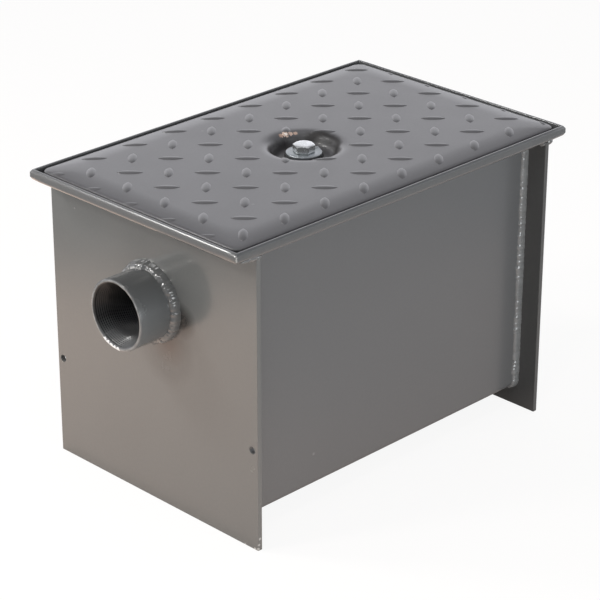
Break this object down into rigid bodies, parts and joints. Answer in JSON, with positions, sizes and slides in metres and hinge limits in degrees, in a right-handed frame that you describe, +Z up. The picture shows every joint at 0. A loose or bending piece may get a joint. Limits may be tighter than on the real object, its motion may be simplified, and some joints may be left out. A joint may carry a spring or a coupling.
{
  "type": "grease trap",
  "caption": "Rectangular steel grease trap with threaded pipe couplings at its ends, a bolted tread-plate cover on a gasket, and lift-out baffles inside.",
  "frame": {"origin": "on the floor, under the middle of the tank, in the middle of the overall box", "axes": "+X along the flow from inlet to outlet, +Y across the tank, +Z up"},
  "size_m": [0.4814, 0.2794, 0.3073],
  "materials": {
    "painted_steel": "grey satin enamel on welded steel",
    "rubber": "black rubber",
    "zinc_plate": "bright zinc plate"
  },
  "bodies": {
    "tank": {"tank_body": "painted_steel", "end_plate_inlet": "painted_steel", "end_plate_outlet": "painted_steel", "rim_angle_inlet": "painted_steel", "rim_angle_outlet": "painted_steel", "rim_angle_left": "painted_steel", "rim_angle_right": "painted_steel", "coupling_inlet": "painted_steel", "coupling_outlet": "painted_steel", "coupling_weld_inlet": "painted_steel", "coupling_weld_outlet": "painted_steel", "seam_weld_inlet": "painted_steel", "seam_weld_outlet": "painted_steel", "rim_corner_welds": "painted_steel", "hold_down_bar": "painted_steel", "hold_down_nut": "painted_steel", "baffle_guide_inlet_left": "painted_steel", "baffle_guide_inlet_right": "painted_steel", "baffle_guide_outlet_left": "painted_steel", "baffle_guide_outlet_right": "painted_steel", "cover_gasket": "rubber"},
    "cover": {"cover": "painted_steel"},
    "washers": {"flat_washer": "zinc_plate", "sealing_washer": "rubber"},
    "bolt": {"hold_down_bolt": "zinc_plate"},
    "baffle_inlet": {"baffle_inlet": "painted_steel"},
    "baffle_outlet": {"baffle_outlet": "painted_steel"}
  },
  "joints": [
    {"name": "cover_lift", "type": "slide", "parent": "tank", "child": "cover", "axis": [0, 0, 1], "range_m": [0, 0.15]},
    {"name": "bolt_rise", "type": "slide", "parent": "cover", "child": "washers", "axis": [0, 0, 1], "range_m": [0, 0.0196]},
    {"name": "bolt_turn", "type": "hinge", "parent": "washers", "child": "bolt", "pos_m": [0, 0, 0.2989], "axis": [0, 0, 1], "range_deg": [0, 3600]},
    {"name": "baffle_inlet_lift", "type": "slide", "parent": "tank", "child": "baffle_inlet", "axis": [0, 0, 1], "range_m": [0, 0.028]},
    {"name": "baffle_outlet_lift", "type": "slide", "parent": "tank", "child": "baffle_outlet", "axis": [0, 0, 1], "range_m": [0, 0.028]}
  ],
  "couplings": [
    {"joint": "bolt_rise", "follows": "bolt_turn", "m_per_rad": 0.000311}
  ]
}
